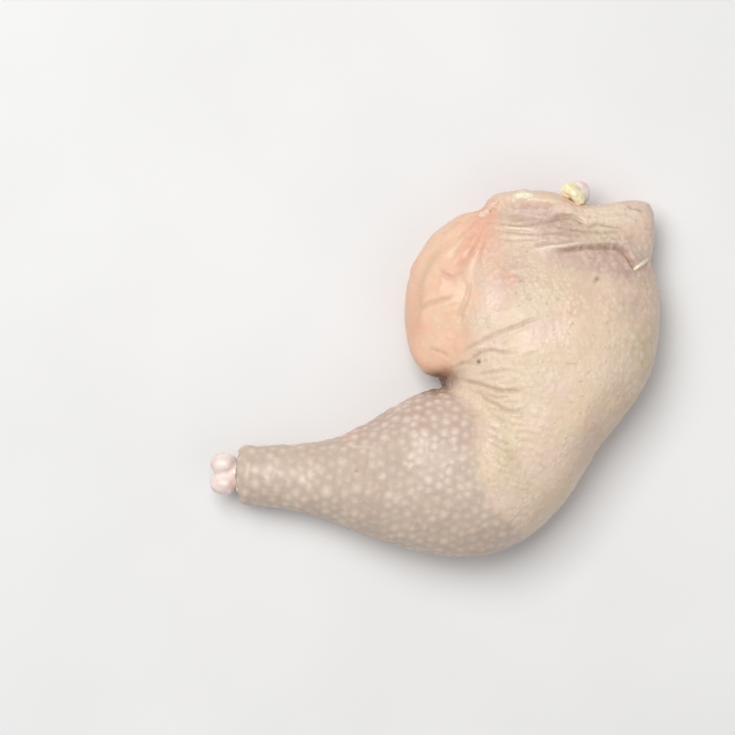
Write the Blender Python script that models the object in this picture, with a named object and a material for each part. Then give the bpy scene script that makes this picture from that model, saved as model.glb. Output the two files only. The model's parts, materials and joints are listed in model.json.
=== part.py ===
"""A raw chicken leg with its skin on: the drumstick and the thigh in one piece, bent at the knee.

It lies on its inner side. The shank points along -X from the knee and the thigh along +Y.
While it is built, the origin is the point of the floor under the knee joint. At the end everything
is moved together, so that the origin is the middle of the whole leg's footprint.
Lengths are in metres.
"""

import math

import bmesh
import bpy
from mathutils import Vector

# Driving dimensions of the flesh, with its skin.
SHANK_LENGTH = 0.101  # knee joint to where the skin ends at the ankle
CALF_WIDTH = 0.061  # widest part of the drumstick, seen from above
CALF_HEIGHT = 0.047
ANKLE_WIDTH = 0.022
THIGH_LENGTH = 0.097  # knee joint to the cut face at the hip
THIGH_WIDTH = 0.083  # without the flap of skin beside it
THIGH_HEIGHT = 0.044
FLAP_START = 0.0345  # from the knee joint to the near end of the flap behind the thigh
FLAP_LENGTH = 0.056
FLAP_ROOT = -0.0040  # how far under the thigh the flap begins, across from the knee joint
FLAP_REACH = 0.038
FLAP_HEIGHT = 0.033
FOLD_START = -0.0130  # where the skin folded along the hip edge begins, across from the knee joint
FOLD_LENGTH = 0.0615
FOLD_THICKNESS = 0.011
FOLD_OVERHANG = 0.0045  # how far its edge hangs past the cut face

# Driving dimensions of the bones and the fat.
BONE_WIDTH = 0.0085  # shaft of both bones
HIP_BALL_WIDTH = 0.0092
HIP_BALL_AT = Vector((0.0207, 0.1002, 0.0175))
ANKLE_KNOB_WIDTH = 0.0085  # each of the two rounded knobs side by side
ANKLE_KNOB_AT = Vector((-0.1052, 0.0005, 0.0142))
FAT_SIZE = Vector((0.0068, 0.0058, 0.0054))  # the larger of the two lobes of fat on the ball
FAT_AT = Vector((0.0175, 0.1010, 0.0225))
GAP = 0.0003  # kept between pieces that touch

# How finely the flesh is made.
RING_POINTS = 24
VOXEL = 0.0013
SOFTENING = 7
LEG_TRIANGLES = 6400
BONE_POINTS = 16
SETTLED = 0.0016  # how far the soft underside is pressed flat


def clear_scene():
    for obj in list(bpy.data.objects):
        bpy.data.objects.remove(obj, do_unlink=True)


def material(name, color, roughness):
    made = bpy.data.materials.new(name)
    made.use_nodes = True
    shader = made.node_tree.nodes["Principled BSDF"]
    shader.inputs["Base Color"].default_value = (*color, 1.0)
    shader.inputs["Roughness"].default_value = roughness
    shader.inputs["Metallic"].default_value = 0.0
    return made


def object_of(name, bm, made_of, parent):
    bmesh.ops.recalc_face_normals(bm, faces=bm.faces)
    mesh = bpy.data.meshes.new(name)
    bm.to_mesh(mesh)
    bm.free()
    mesh.materials.append(made_of)
    mesh.shade_smooth()
    obj = bpy.data.objects.new(name, mesh)
    obj.parent = parent
    bpy.context.scene.collection.objects.link(obj)
    return obj


def bridged(bm, rings):
    """Joins rings of points, in order, into one closed shape with capped ends."""
    for first, second in zip(rings, rings[1:]):
        for step in range(len(first)):
            after = (step + 1) % len(first)
            bm.faces.new((first[step], first[after], second[after], second[step]))
    bm.faces.new(rings[0])
    bm.faces.new(rings[-1])


# ---- flesh and skin ---------------------------------------------------------------------------


def squared(share, power):
    """A circle's coordinate pushed outwards, for a power over 2."""
    return math.copysign(abs(share) ** (2.0 / power), share)


def flesh_ring(bm, centre, across, near, far, low, high):
    """A closed section standing across a muscle: domed above, and flatter below where it lies.

    near and far are how far it reaches along across, and low and high are its heights.
    """
    belly = low + 0.44 * (high - low)  # the height at which a lying muscle is widest
    middle, half = (near + far) / 2, (far - near) / 2
    ring = []
    for step in range(RING_POINTS):
        angle = 2 * math.pi * step / RING_POINTS
        side, rise = math.cos(angle), math.sin(angle)
        if rise > 0:
            z = belly + (high - belly) * squared(rise, 2.1)
        else:
            z = belly + (belly - low) * squared(rise, 2.3)
        reach = middle + half * squared(side, 2.15)
        ring.append(bm.verts.new(centre + across * reach + Vector((0, 0, z))))
    return ring


def muscle(bm, along, across, sections):
    """One muscle from its sections, each (place along it, near reach, far reach, low, high)."""
    rings = [flesh_ring(bm, along * place, across, *span) for place, *span in sections]
    bridged(bm, rings)


def drumstick(bm):
    """Knee to ankle. The shin is the straighter side, and the calf bulges behind it."""
    length, width, height, ankle = SHANK_LENGTH, CALF_WIDTH, CALF_HEIGHT, ANKLE_WIDTH
    muscle(
        bm,
        Vector((-1, 0, 0)),
        Vector((0, 1, 0)),
        [
            (-0.130 * length, -0.20 * width, 0.24 * width, 0.004, 0.74 * height),
            (-0.050 * length, -0.35 * width, 0.40 * width, 0.001, 0.89 * height),
            (0.070 * length, -0.46 * width, 0.49 * width, 0.0, 0.98 * height),
            (0.190 * length, -0.49 * width, 0.52 * width, 0.0, height),
            (0.310 * length, -0.465 * width, 0.52 * width, 0.0, height),
            (0.430 * length, -0.42 * width, 0.425 * width, 0.0002, 0.94 * height),
            (0.540 * length, -0.355 * width, 0.295 * width, 0.0008, 0.82 * height),
            (0.640 * length, -0.79 * ankle, 0.61 * ankle, 0.0018, 0.69 * height),
            (0.760 * length, -0.62 * ankle, 0.49 * ankle, 0.0030, 0.58 * height),
            (0.880 * length, -0.52 * ankle, 0.45 * ankle, 0.0038, 0.53 * height),
            (0.970 * length, -0.50 * ankle, 0.49 * ankle, 0.0040, 0.53 * height),
            (1.010 * length, -0.37 * ankle, 0.38 * ankle, 0.0068, 0.47 * height),
        ],
    )


def thigh(bm):
    """Knee to hip, broadest halfway, with its rounded front on the +X side and a blunt cut end."""
    length, width, height = THIGH_LENGTH, THIGH_WIDTH, THIGH_HEIGHT
    muscle(
        bm,
        Vector((0, 1, 0)),
        Vector((1, 0, 0)),
        [
            (-0.270 * length, -0.22 * width, -0.03 * width, 0.003, 0.58 * height),
            (-0.175 * length, -0.28 * width, 0.12 * width, 0.001, 0.84 * height),
            (-0.050 * length, -0.30 * width, 0.25 * width, 0.0, 0.97 * height),
            (0.090 * length, -0.30 * width, 0.315 * width, 0.0, height),
            (0.220 * length, -0.30 * width, 0.46 * width, 0.0, height),
            (0.340 * length, -0.30 * width, 0.56 * width, 0.0, height),
            (0.470 * length, -0.36 * width, 0.60 * width, 0.0, 0.98 * height),
            (0.610 * length, -0.38 * width, 0.62 * width, 0.0, 0.94 * height),
            (0.730 * length, -0.36 * width, 0.59 * width, 0.0, 0.87 * height),
            (0.850 * length, -0.30 * width, 0.54 * width, 0.0005, 0.78 * height),
            (0.950 * length, -0.20 * width, 0.49 * width, 0.0015, 0.68 * height),
            (1.000 * length, -0.13 * width, 0.43 * width, 0.0035, 0.58 * height),
        ],
    )


def skin_flap(bm):
    """The soft lobe beside the thigh, whose near end bulges over the fold behind the knee."""
    start, length, root = FLAP_START, FLAP_LENGTH, FLAP_ROOT
    reach, height = FLAP_REACH, FLAP_HEIGHT
    muscle(
        bm,
        Vector((0, 1, 0)),
        Vector((1, 0, 0)),
        [
            (start, root - 0.76 * reach, root - 0.48 * reach, 0.011, 0.72 * height),
            (start + 0.07 * length, root - 0.89 * reach, root - 0.10 * reach, 0.006, 0.88 * height),
            (start + 0.26 * length, root - 0.97 * reach, root, 0.002, 0.97 * height),
            (start + 0.46 * length, root - reach, root, 0.001, height),
            (start + 0.68 * length, root - 0.93 * reach, root, 0.001, 0.97 * height),
            (start + 0.86 * length, root - 0.81 * reach, root, 0.003, 0.90 * height),
            (start + 0.98 * length, root - 0.60 * reach, root, 0.006, 0.78 * height),
            (start + 1.07 * length, root - 0.36 * reach, root, 0.009, 0.68 * height),
        ],
    )


def hip_fold(bm):
    """The loose skin along the hip edge. It ends in a square tongue at the front of the thigh."""
    start, length, thick = FOLD_START, FOLD_LENGTH, FOLD_THICKNESS
    edge = THIGH_LENGTH + FOLD_OVERHANG
    muscle(
        bm,
        Vector((1, 0, 0)),
        Vector((0, 1, 0)),
        [
            (start, edge - 0.012, edge - 0.002, 0.014, 0.013 + 0.75 * thick),
            (start + 0.10 * length, edge - 0.015, edge - 0.0005, 0.015, 0.015 + thick),
            (start + 0.25 * length, edge - 0.018, edge, 0.016, 0.0185 + thick),
            (start + 0.42 * length, edge - 0.019, edge - 0.0005, 0.016, 0.0195 + thick),
            (start + 0.49 * length, edge - 0.020, edge - 0.0030, 0.016, 0.0195 + thick),
            (start + 0.56 * length, edge - 0.020, edge - 0.0060, 0.015, 0.0195 + thick),
            (start + 0.68 * length, edge - 0.021, edge - 0.0060, 0.014, 0.0180 + thick),
            (start + 0.85 * length, edge - 0.023, edge - 0.003, 0.012, 0.0160 + thick),
            (start + 0.95 * length, edge - 0.027, edge - 0.003, 0.010, 0.0125 + thick),
            (start + 1.00 * length, edge - 0.023, edge - 0.007, 0.009, 0.0080 + thick),
        ],
    )


def leg_shape():
    bm = bmesh.new()
    for shape in (drumstick, thigh, skin_flap, hip_fold):
        shape(bm)
    bmesh.ops.translate(bm, vec=Vector((0, 0, -SETTLED)), verts=bm.verts)
    return bm


def fuse(obj):
    """Grows the overlapping muscles of one object into a single smooth body."""
    round_off = obj.modifiers.new("round_off", "SUBSURF")
    round_off.levels = round_off.render_levels = 1
    grow = obj.modifiers.new("grow_together", "REMESH")
    grow.mode = "VOXEL"
    grow.voxel_size = VOXEL
    soften = obj.modifiers.new("soften", "SMOOTH")
    soften.factor = 0.5
    soften.iterations = SOFTENING

    fine = obj.evaluated_get(bpy.context.evaluated_depsgraph_get())
    fine_triangles = 2 * len(fine.to_mesh().polygons)
    fine.to_mesh_clear()
    thin = obj.modifiers.new("thin_out", "DECIMATE")
    thin.ratio = LEG_TRIANGLES / fine_triangles
    thin.use_collapse_triangulate = True


# ---- bones and fat ----------------------------------------------------------------------------


def knob(bm, centre, half_sizes):
    """A rounded knob. Its poles point up and down."""
    made = bmesh.ops.create_uvsphere(bm, u_segments=BONE_POINTS, v_segments=10, radius=1.0)
    bmesh.ops.scale(bm, vec=half_sizes, verts=made["verts"])
    bmesh.ops.translate(bm, vec=centre, verts=made["verts"])


def shaft(bm, start, end, profile):
    """A round bone from start to end. profile holds (share of the way, radius)."""
    run = end - start
    turn = run.to_track_quat("Z", "Y")
    rings = []
    for share, radius in profile:
        ring = []
        for step in range(BONE_POINTS):
            angle = 2 * math.pi * step / BONE_POINTS
            spoke = turn @ Vector((radius * math.cos(angle), radius * math.sin(angle), 0))
            ring.append(bm.verts.new(start + run * share + spoke))
        rings.append(ring)
    bridged(bm, rings)


def thigh_bone_parts(swell):
    """The thigh bone from its ball at the hip to near the knee, as shapes that overlap."""
    ball, shank = bmesh.new(), bmesh.new()
    radius, half = HIP_BALL_WIDTH / 2 + swell, BONE_WIDTH / 2
    knob(ball, HIP_BALL_AT, Vector((radius, radius, radius)))
    profile = [(0.0, 0.70), (0.08, 0.72), (0.17, 1.15), (0.30, 0.95), (0.80, 0.95), (1.0, 1.2)]
    knee_end = Vector((0.0070, 0.0180, 0.0180))
    shaft(shank, HIP_BALL_AT, knee_end, [(at, half * wide + swell) for at, wide in profile])
    return ball, shank


def shank_bone_parts(swell):
    """The shank bone from its two knobs at the ankle to near the knee, as overlapping shapes."""
    parts = []
    radius, half = ANKLE_KNOB_WIDTH / 2 + swell, BONE_WIDTH / 2
    for side in (-1, 1):
        knobs = bmesh.new()
        beside = ANKLE_KNOB_AT + Vector((0, side * 0.40 * ANKLE_KNOB_WIDTH, 0))
        knob(knobs, beside, Vector((1.2 * radius, radius, 1.4 * radius)))
        parts.append(knobs)
    shank = bmesh.new()
    profile = [(0.0, 1.05), (0.06, 1.0), (0.15, 0.80), (0.5, 0.80), (0.85, 0.95), (1.0, 1.25)]
    knee_end = Vector((-0.0080, -0.0040, 0.0180))
    shaft(shank, ANKLE_KNOB_AT, knee_end, [(at, half * wide + swell) for at, wide in profile])
    return [*parts, shank]


def fat_parts(swell):
    """A lump of fat on the hip ball: one soft lobe, and a smaller one towards the thigh."""
    lobes = []
    for shift, share in (((0.0, 0.0, 0.0), 1.0), ((0.0031, -0.0026, 0.0011), 0.78)):
        lobe = bmesh.new()
        half = FAT_SIZE * (share / 2) + Vector((swell, swell, swell))
        knob(lobe, FAT_AT + Vector(shift), half)
        lobes.append(lobe)
    return lobes


def hidden(obj):
    obj.hide_render = True
    obj.display_type = "WIRE"
    return obj


def boolean(obj, operation, tool):
    """The modifier joins tool to obj, or cuts it away. The tool itself is only a helper."""
    made = obj.modifiers.new(tool.name, "BOOLEAN")
    made.operation = operation
    made.object = hidden(tool)


def united(name, parts, made_of, parent):
    """One object from overlapping shapes, each joined to the first."""
    first, *others = parts
    obj = object_of(name, first, made_of, parent)
    for number, other in enumerate(others, start=1):
        boolean(obj, "UNION", object_of(f"{name}_part_{number}", other, made_of, parent))
    return obj


def floor_block():
    """All that is below the floor. Cutting it away leaves a flat place to lie on."""
    bm = bmesh.new()
    made = bmesh.ops.create_cube(bm, size=1.0)
    bmesh.ops.scale(bm, vec=Vector((0.4, 0.4, 0.05)), verts=made["verts"])
    bmesh.ops.translate(bm, vec=Vector((0, 0, -0.025)), verts=made["verts"])
    return bm


def centre_footprint(parent, names):
    """Moves everything so that the origin is the middle of the leg's footprint on the floor."""
    bpy.context.view_layer.update()
    graph = bpy.context.evaluated_depsgraph_get()
    points = []
    for name in names:
        evaluated = bpy.data.objects[name].evaluated_get(graph)
        points += [vert.co.copy() for vert in evaluated.to_mesh().vertices]
        evaluated.to_mesh_clear()
    for axis in (0, 1):
        reach = [point[axis] for point in points]
        parent.location[axis] = -(min(reach) + max(reach)) / 2
    parent.location.z = -min(point.z for point in points)


def main():
    clear_scene()
    footprint = bpy.data.objects.new("footprint", None)
    bpy.context.scene.collection.objects.link(footprint)
    skin = material("skin", (0.72, 0.56, 0.43), 0.45)
    bone = material("bone", (0.80, 0.70, 0.62), 0.35)
    fat = material("fat", (0.82, 0.70, 0.42), 0.40)

    leg = object_of("leg", leg_shape(), skin, footprint)
    fuse(leg)
    boolean(leg, "DIFFERENCE", object_of("floor", floor_block(), skin, footprint))
    for name, parts in (
        ("hip_socket", thigh_bone_parts(GAP)),
        ("ankle_socket", shank_bone_parts(GAP)),
        ("fat_dent", fat_parts(GAP)),
    ):
        boolean(leg, "DIFFERENCE", united(name, parts, bone, footprint))

    united("thigh_bone", thigh_bone_parts(0.0), bone, footprint)
    united("shank_bone", shank_bone_parts(0.0), bone, footprint)
    lump = united("hip_fat", fat_parts(0.0), fat, footprint)
    boolean(lump, "DIFFERENCE", united("bone_dent", thigh_bone_parts(GAP), bone, footprint))
    centre_footprint(footprint, ("leg", "thigh_bone", "shank_bone", "hip_fat"))


if __name__ == "__main__":
    main()
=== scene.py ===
"""The looks of a raw chicken leg with its skin on, lying on a pale surface.

Places are millimetres from the knee: x towards the front of the thigh, y towards the hip and z up.
"""

import json
import math

import bpy
import numpy as np
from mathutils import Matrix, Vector, noise
from mathutils.bvhtree import BVHTree

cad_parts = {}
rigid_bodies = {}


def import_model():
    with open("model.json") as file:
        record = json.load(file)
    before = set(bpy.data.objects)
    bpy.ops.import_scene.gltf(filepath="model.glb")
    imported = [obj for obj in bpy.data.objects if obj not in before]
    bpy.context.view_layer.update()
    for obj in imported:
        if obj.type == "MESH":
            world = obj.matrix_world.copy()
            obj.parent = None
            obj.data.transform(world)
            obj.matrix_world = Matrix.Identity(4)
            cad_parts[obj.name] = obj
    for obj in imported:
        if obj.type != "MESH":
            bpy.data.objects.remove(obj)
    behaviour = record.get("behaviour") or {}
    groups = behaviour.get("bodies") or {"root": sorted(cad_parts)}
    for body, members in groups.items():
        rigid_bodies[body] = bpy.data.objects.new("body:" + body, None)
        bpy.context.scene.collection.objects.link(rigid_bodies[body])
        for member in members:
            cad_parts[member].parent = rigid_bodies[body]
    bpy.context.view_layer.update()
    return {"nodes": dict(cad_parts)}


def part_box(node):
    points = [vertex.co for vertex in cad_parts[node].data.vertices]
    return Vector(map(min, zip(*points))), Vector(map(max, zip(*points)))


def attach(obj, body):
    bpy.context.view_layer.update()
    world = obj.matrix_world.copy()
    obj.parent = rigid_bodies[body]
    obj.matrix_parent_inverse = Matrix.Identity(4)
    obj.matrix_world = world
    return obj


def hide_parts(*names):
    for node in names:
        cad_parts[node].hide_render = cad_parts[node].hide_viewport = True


MM = 0.001
SKIN_VOXEL = 0.64 * MM  # size of the skin's faces
SKIN_SOFTENING = 14
HIDDEN_REACH = 0.9 * MM  # skin nearer than this to a bone lines its socket
BASE_HEIGHT = 0.5 * MM  # skin lower than this is the flat base
KEPT_FACES = 0.78  # share of the skin's faces left after thinning the hidden ones

# The camera looks straight down: how wide its square view is, and from how high it looks.
VIEW_WIDTH = 261 * MM
VIEW_HEIGHT = 1.25
VIEW_LEVEL = 18 * MM  # the height at which the view has that width
VIEW_CENTRE = (-54.1, 38.2)  # from the knee
SENSOR_WIDTH = 36.0

# Where the knee is, in metres from the ankle end and from the middle line of the shank bone.
KNEE_FROM_ANKLE = 0.1103
KNEE_OFF_LINE = 0.0006

FLOOR_SIZE = 6.0
FLOOR_DROP = 0.2 * MM  # keeps the floor just under the leg's flat base

# Millimetres between neighbouring feather bumps, and how far each may stray from its even place.
DRUMSTICK_PITCH = 4.1
DRUMSTICK_STRAY = 1.9
THIGH_PITCH = 3.6
THIGH_STRAY = 1.8
ROW_SHARE = 0.866  # height of a triangle with equal sides, as a share of its side


# ---- places -----------------------------------------------------------------------------------


def knee_place():
    """The floor under the knee joint, from where the shank bone lies."""
    low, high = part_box("shank_bone")
    return np.array([low.x + KNEE_FROM_ANKLE, (low.y + high.y) / 2 + KNEE_OFF_LINE, 0.0])


def to_metres(place):
    """A place in millimetres from the knee, as a Vector in metres."""
    return Vector(KNEE + np.array(place, float) * MM)


def deselect_all():
    for obj in bpy.context.view_layer.objects:
        obj.select_set(False)


def make_active(obj):
    deselect_all()
    obj.select_set(True)
    bpy.context.view_layer.objects.active = obj


def apply_modifier(obj, kind, **settings):
    made = obj.modifiers.new(kind.lower(), kind)
    for name, value in settings.items():
        setattr(made, name, value)
    make_active(obj)
    bpy.ops.object.modifier_apply(modifier=made.name)


# ---- copies of the solids, finely meshed --------------------------------------------------------


def merged_copy(name, node):
    """A copy of a solid whose loose triangles are joined."""
    obj = bpy.data.objects.new(name, frame["nodes"][node].data.copy())
    bpy.context.scene.collection.objects.link(obj)
    obj.data.materials.clear()
    make_active(obj)
    bpy.ops.object.mode_set(mode="EDIT")
    bpy.ops.mesh.select_all(action="SELECT")
    bpy.ops.mesh.remove_doubles(threshold=1e-6)
    bpy.ops.object.mode_set(mode="OBJECT")
    return obj


def fine_body(obj, voxel, softening):
    """Rounds the facets off and gives the piece small even faces."""
    apply_modifier(obj, "SUBSURF", levels=1, render_levels=1)
    apply_modifier(obj, "REMESH", mode="VOXEL", voxel_size=voxel)
    apply_modifier(obj, "SMOOTH", factor=0.5, iterations=softening)
    obj.data.shade_smooth()


def bone_tree(node):
    """A solid's faces, ready for asking how near a place is to them."""
    data = frame["nodes"][node].data
    places = [vert.co for vert in data.vertices]
    faces = [tuple(poly.vertices) for poly in data.polygons]
    return BVHTree.FromPolygons(places, faces)


def thin_hidden(obj, *bones):
    """Thins the faces out where they can't be seen: in the bones' sockets and on the flat base."""
    trees = [bone_tree(bone) for bone in bones]

    def is_near(tree, place):
        return tree.find_nearest(place, HIDDEN_REACH)[0] is not None

    def is_hidden(place):
        return place.z < BASE_HEIGHT or any(is_near(tree, place) for tree in trees)

    group = obj.vertex_groups.new(name="hidden")
    group.add([vert.index for vert in obj.data.vertices if is_hidden(vert.co)], 1.0, "REPLACE")
    apply_modifier(obj, "DECIMATE", ratio=KEPT_FACES, vertex_group="hidden")
    obj.vertex_groups.clear()


# ---- shaping a surface --------------------------------------------------------------------------


class Surface:
    """The points of a piece in millimetres from the knee, moved along their own normals."""

    def __init__(self, obj):
        self.obj = obj
        count = len(obj.data.vertices)
        flat = np.empty(count * 3, np.float32)
        obj.data.vertices.foreach_get("co", flat)
        self.points = (flat.reshape(-1, 3).astype(float) - KNEE) / MM
        self.masks = {}
        self.measure_normals()

    def measure_normals(self):
        """Writes the moved points to the mesh and reads its new normals."""
        self.write_points()
        flat = np.empty(len(self.points) * 3, np.float32)
        self.obj.data.vertex_normals.foreach_get("vector", flat)
        self.normals = flat.reshape(-1, 3).astype(float)

    def write_points(self):
        flat = (self.points * MM + KNEE).astype(np.float32).ravel()
        self.obj.data.vertices.foreach_set("co", flat)
        self.obj.data.update()

    def push(self, amount):
        """Moves every point outwards by its own amount."""
        self.points += self.normals * amount[:, None]

    def facing_up(self, start=0.15, full=0.5):
        """1 where the surface faces up, fading to 0 down its sides."""
        return smoothstep(self.normals[:, 2], start, full)

    # Painted shade in creases and hollows, and the dark of pores, go into the crease mask.
    def darken(self, amount):
        self.masks["crease"] = np.maximum(self.masks["crease"], amount)

    # Pale skin, and painted highlights on ridge tops and wrinkle crests, go into the pale mask.
    def lighten(self, amount):
        self.masks["pale"] = np.maximum(self.masks["pale"], amount)

    def save_masks(self):
        """Keeps the masks on the mesh, where the material reads them."""
        for name, values in self.masks.items():
            attribute = self.obj.data.attributes.new(name, "FLOAT", "POINT")
            attribute.data.foreach_set("value", np.clip(values, 0, 1).astype(np.float32))


def smoothstep(value, start, full):
    """0 up to start, 1 from full on, and a smooth rise between them."""
    share = np.clip((value - start) / (full - start), 0, 1)
    return share * share * (3 - 2 * share)


def bell(distance, width):
    """1 at no distance, falling off smoothly over about the width."""
    return np.exp(-((distance / width) ** 2))


def along_path(points, path):
    """For each point, seen from above: distance to the path, share along it and which side.

    The side is positive to the left of the path's run.
    """
    flat = points[:, :2]
    path = np.array(path, float)
    best = np.full(len(flat), 1e9)
    share = np.zeros(len(flat))
    side = np.zeros(len(flat))
    steps = np.linalg.norm(np.diff(path, axis=0), axis=1)
    total, before = steps.sum(), 0.0
    for start, end, step in zip(path, path[1:], steps):
        run = (end - start) / step
        rel = flat - start
        at = np.clip(rel @ run, 0, step)
        away = rel - at[:, None] * run
        distance = np.hypot(away[:, 0], away[:, 1])
        nearer = distance < best
        best[nearer] = distance[nearer]
        share[nearer] = (before + at[nearer]) / total
        cross = run[0] * rel[:, 1] - run[1] * rel[:, 0]
        side[nearer] = np.sign(cross[nearer])
        before += step
    return best, share, side


def smooth_path(path, steps=6):
    """A rounder path through the same places."""
    path = np.array(path, float)
    padded = np.vstack([2 * path[0] - path[1], path, 2 * path[-1] - path[-2]])
    made = []
    for a, b, c, d in zip(padded, padded[1:], padded[2:], padded[3:]):
        for step in range(steps):
            t = step / steps
            made.append(
                0.5 * (2 * b + (c - a) * t + (2 * a - 5 * b + 4 * c - d) * t**2)
                + 0.5 * (3 * b - a - 3 * c + d) * t**3
            )
    made.append(path[-1])
    return np.array(made)


def away_from_ends(share, from_start, from_end):
    """1 along a path, fading to 0 over the given shares at its two ends."""
    return smoothstep(share, 0, from_start) * smoothstep(1 - share, 0, from_end)


def groove(surface, path, width, depth, lips=0.35, fade=0.25, darken=0.0):
    """A crease pressed in along the path, with low lips. It fades out towards its ends, and darken paints
    shade into it.
    """
    distance, share, _ = along_path(surface.points, smooth_path(path))
    strength = away_from_ends(share, fade, fade) * surface.facing_up(-0.1, 0.3)
    surface.push(-depth * bell(distance, width) * strength)
    surface.push(lips * depth * bell(distance - 2.1 * width, 1.1 * width) * strength)
    if darken:
        surface.darken(darken * bell(distance, 1.2 * width) * strength)


def ridge(surface, path, width, height, fade=0.3, pale=0.0):
    """A raised line along the path, a groove turned inside out. Pale paints a highlight along its top."""
    groove(surface, path, width, -height, lips=0.0, fade=fade)
    if pale:
        distance, share, _ = along_path(surface.points, smooth_path(path))
        ends = away_from_ends(share, fade, fade)
        surface.lighten(pale * bell(distance, width) * ends * surface.facing_up())


def ledge(surface, path, rise, width, reach, darken=0.0):
    """Raises the skin on the left of the path, so that it ends in a soft step along it. Darken paints the
    shadow under the step.
    """
    distance, share, side = along_path(surface.points, smooth_path(path))
    signed = distance * side
    up = surface.facing_up(-0.1, 0.3) * away_from_ends(share, 0.2, 0.08)
    raised = smoothstep(signed, -0.2 * width, width) * bell(np.maximum(signed - width, 0), reach)
    surface.push(rise * raised * up)
    under = bell(signed + 0.4 * width, 0.8 * width)
    surface.push(-0.5 * rise * under * up)
    if darken:
        surface.darken(darken * under * up)


def distance_from_above(points, centre):
    return np.hypot(points[:, 0] - centre[0], points[:, 1] - centre[1])


def blob(points, centre, half_sizes, turn=0.0, sharpness=1.0):
    """1 inside an oval seen from above and 0 well outside it."""
    rel = points[:, :2] - np.array(centre, float)
    angle = math.radians(turn)
    along = rel[:, 0] * math.cos(angle) + rel[:, 1] * math.sin(angle)
    across = -rel[:, 0] * math.sin(angle) + rel[:, 1] * math.cos(angle)
    radius = np.hypot(along / half_sizes[0], across / half_sizes[1])
    return 1 - smoothstep(radius, 1 - 0.6 / sharpness, 1 + 0.6 / sharpness)


def rough_noise(points, size, seed=0.0):
    """Smooth noise of about -1 to 1 whose lumps are about so many millimetres wide."""
    shift = Vector((seed, 1.7 * seed, -0.9 * seed))
    return np.array([noise.noise(Vector(point) / size + shift) for point in points])


def scatter(row, column, kind):
    """A fixed number from 0 to 1 for each cell of a lattice, from the usual sine hash."""
    value = np.sin(row * 127.1 + column * 311.7 + kind * 74.7) * 43758.5453
    return value - np.floor(value)


def lattice(across, along, pitch, unevenness):
    """Distance to the nearest feather bump of a staggered, uneven lattice, and that bump's own number."""
    row_height = pitch * ROW_SHARE
    row = np.round(along / row_height)
    best = np.full(len(across), 1e9)
    own = np.zeros(len(across))
    for row_step in (-1, 0, 1):
        this_row = row + row_step
        stagger = 0.5 * np.mod(this_row, 2)
        column = np.round(across / pitch - stagger)
        for column_step in (-1, 0, 1):
            this_column = column + column_step
            wobble_x = unevenness * (scatter(this_row, this_column, 1) - 0.5)
            wobble_y = unevenness * (scatter(this_row, this_column, 2) - 0.5)
            centre_x = (this_column + stagger) * pitch + wobble_x
            centre_y = this_row * row_height + wobble_y
            distance = np.hypot(across - centre_x, along - centre_y)
            nearer = distance < best
            best[nearer] = distance[nearer]
            own[nearer] = scatter(this_row[nearer], this_column[nearer], 3)
    return best, own


def unrolled(run, side, height, middle, radius, level, turn):
    """Places on a muscle as if its skin were unrolled flat from the top and then turned."""
    around = np.arctan2(side - middle, height - level) * radius
    across = run * math.cos(turn) - around * math.sin(turn)
    along = run * math.sin(turn) + around * math.cos(turn)
    return across, along


# ---- the skin -----------------------------------------------------------------------------------

# Where the drumstick's bumpy skin ends against the smooth skin of the knee, from below upwards.
DRUMSTICK_BORDER = (
    (6, -30), (1, -19.5), (-9, -12.4), (-14, -1.8),
    (-15.5, 12.4), (-18.5, 25), (-22, 31), (-24, 40),
)

# The line above which the skin belongs to the lobe and not to the drumstick: a point on it and its slope.
FOLD_POINT = (-28, 33.5)
FOLD_SLOPE = 0.3

# Creases that fan out from the fold behind the knee: path, width, depth and darkness, the painted shade
# in them.
KNEE_CREASES = (
    (((-22, 41), (-20, 44), (-16, 46.5), (-9, 50), (-3.6, 52), (3.6, 55), (9, 57.5)), 0.60, 0.50, 0.30),
    (
        ((-18.6, 39.1), (-16.8, 41.7), (-14.2, 43.5), (-11.5, 44.2), (-7.1, 43.5), (-3, 43)),
        0.55, 0.50, 0.34,
    ),
    (((-24.5, 36.8), (-21.3, 39.5), (-18.5, 39.8), (-16, 39.2)), 0.60, 0.45, 0.30),
    (((-16.5, 35.8), (-10.6, 36.6), (-7.1, 37.1), (-3, 36.8)), 0.55, 0.35, 0.26),
    (
        ((-25, 34.2), (-19.5, 33.4), (-15.9, 32.7), (-12.4, 31.6), (-8, 30.2), (-2.6, 30), (2, 30.3)),
        0.60, 0.55, 0.38,
    ),
    (
        ((-16, 29.5), (-12.4, 26.8), (-8.8, 24.9), (-7.1, 23.6), (-2.6, 22.8), (1.5, 23)),
        0.60, 0.45, 0.30,
    ),
    (((-19, 31), (-15, 29), (-10.5, 28), (-6, 26.8)), 0.50, 0.25, 0.16),
    (((-13, 22.5), (-10, 21), (-5.3, 19), (-1.8, 18)), 0.50, 0.25, 0.14),
)

# The soft valley between the lobe and the thigh.
VALLEY = (
    (-11, 89), (-14, 82), (-17.5, 74), (-17.2, 66), (-17.4, 61.4),
    (-20.3, 55), (-21.0, 50), (-19.6, 45.5), (-21, 41.5), (-23.4, 38.7),
)

# Creases of the lobe's loose skin: path, width, depth and lips.
LOBE_CREASES = (
    (((-24, 84), (-31, 77), (-35, 69), (-36, 61), (-36.4, 54), (-35, 47)), 1.2, 0.35, 0.3),
    (((-37, 54), (-36, 58), (-34.5, 59.7), (-30, 61.3), (-25.2, 62.4), (-21, 64.5)), 0.8, 0.45, 0.35),
    (((-21.5, 72), (-18.5, 67), (-19.6, 61.5), (-21.5, 57), (-21, 52)), 0.7, 0.40, 0.4),
    (((-30, 73), (-25, 70), (-20.5, 70.5)), 0.8, 0.30, 0.3),
    (((-33, 45), (-28, 43.5), (-24.5, 41)), 0.7, 0.30, 0.3),
)

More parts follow.
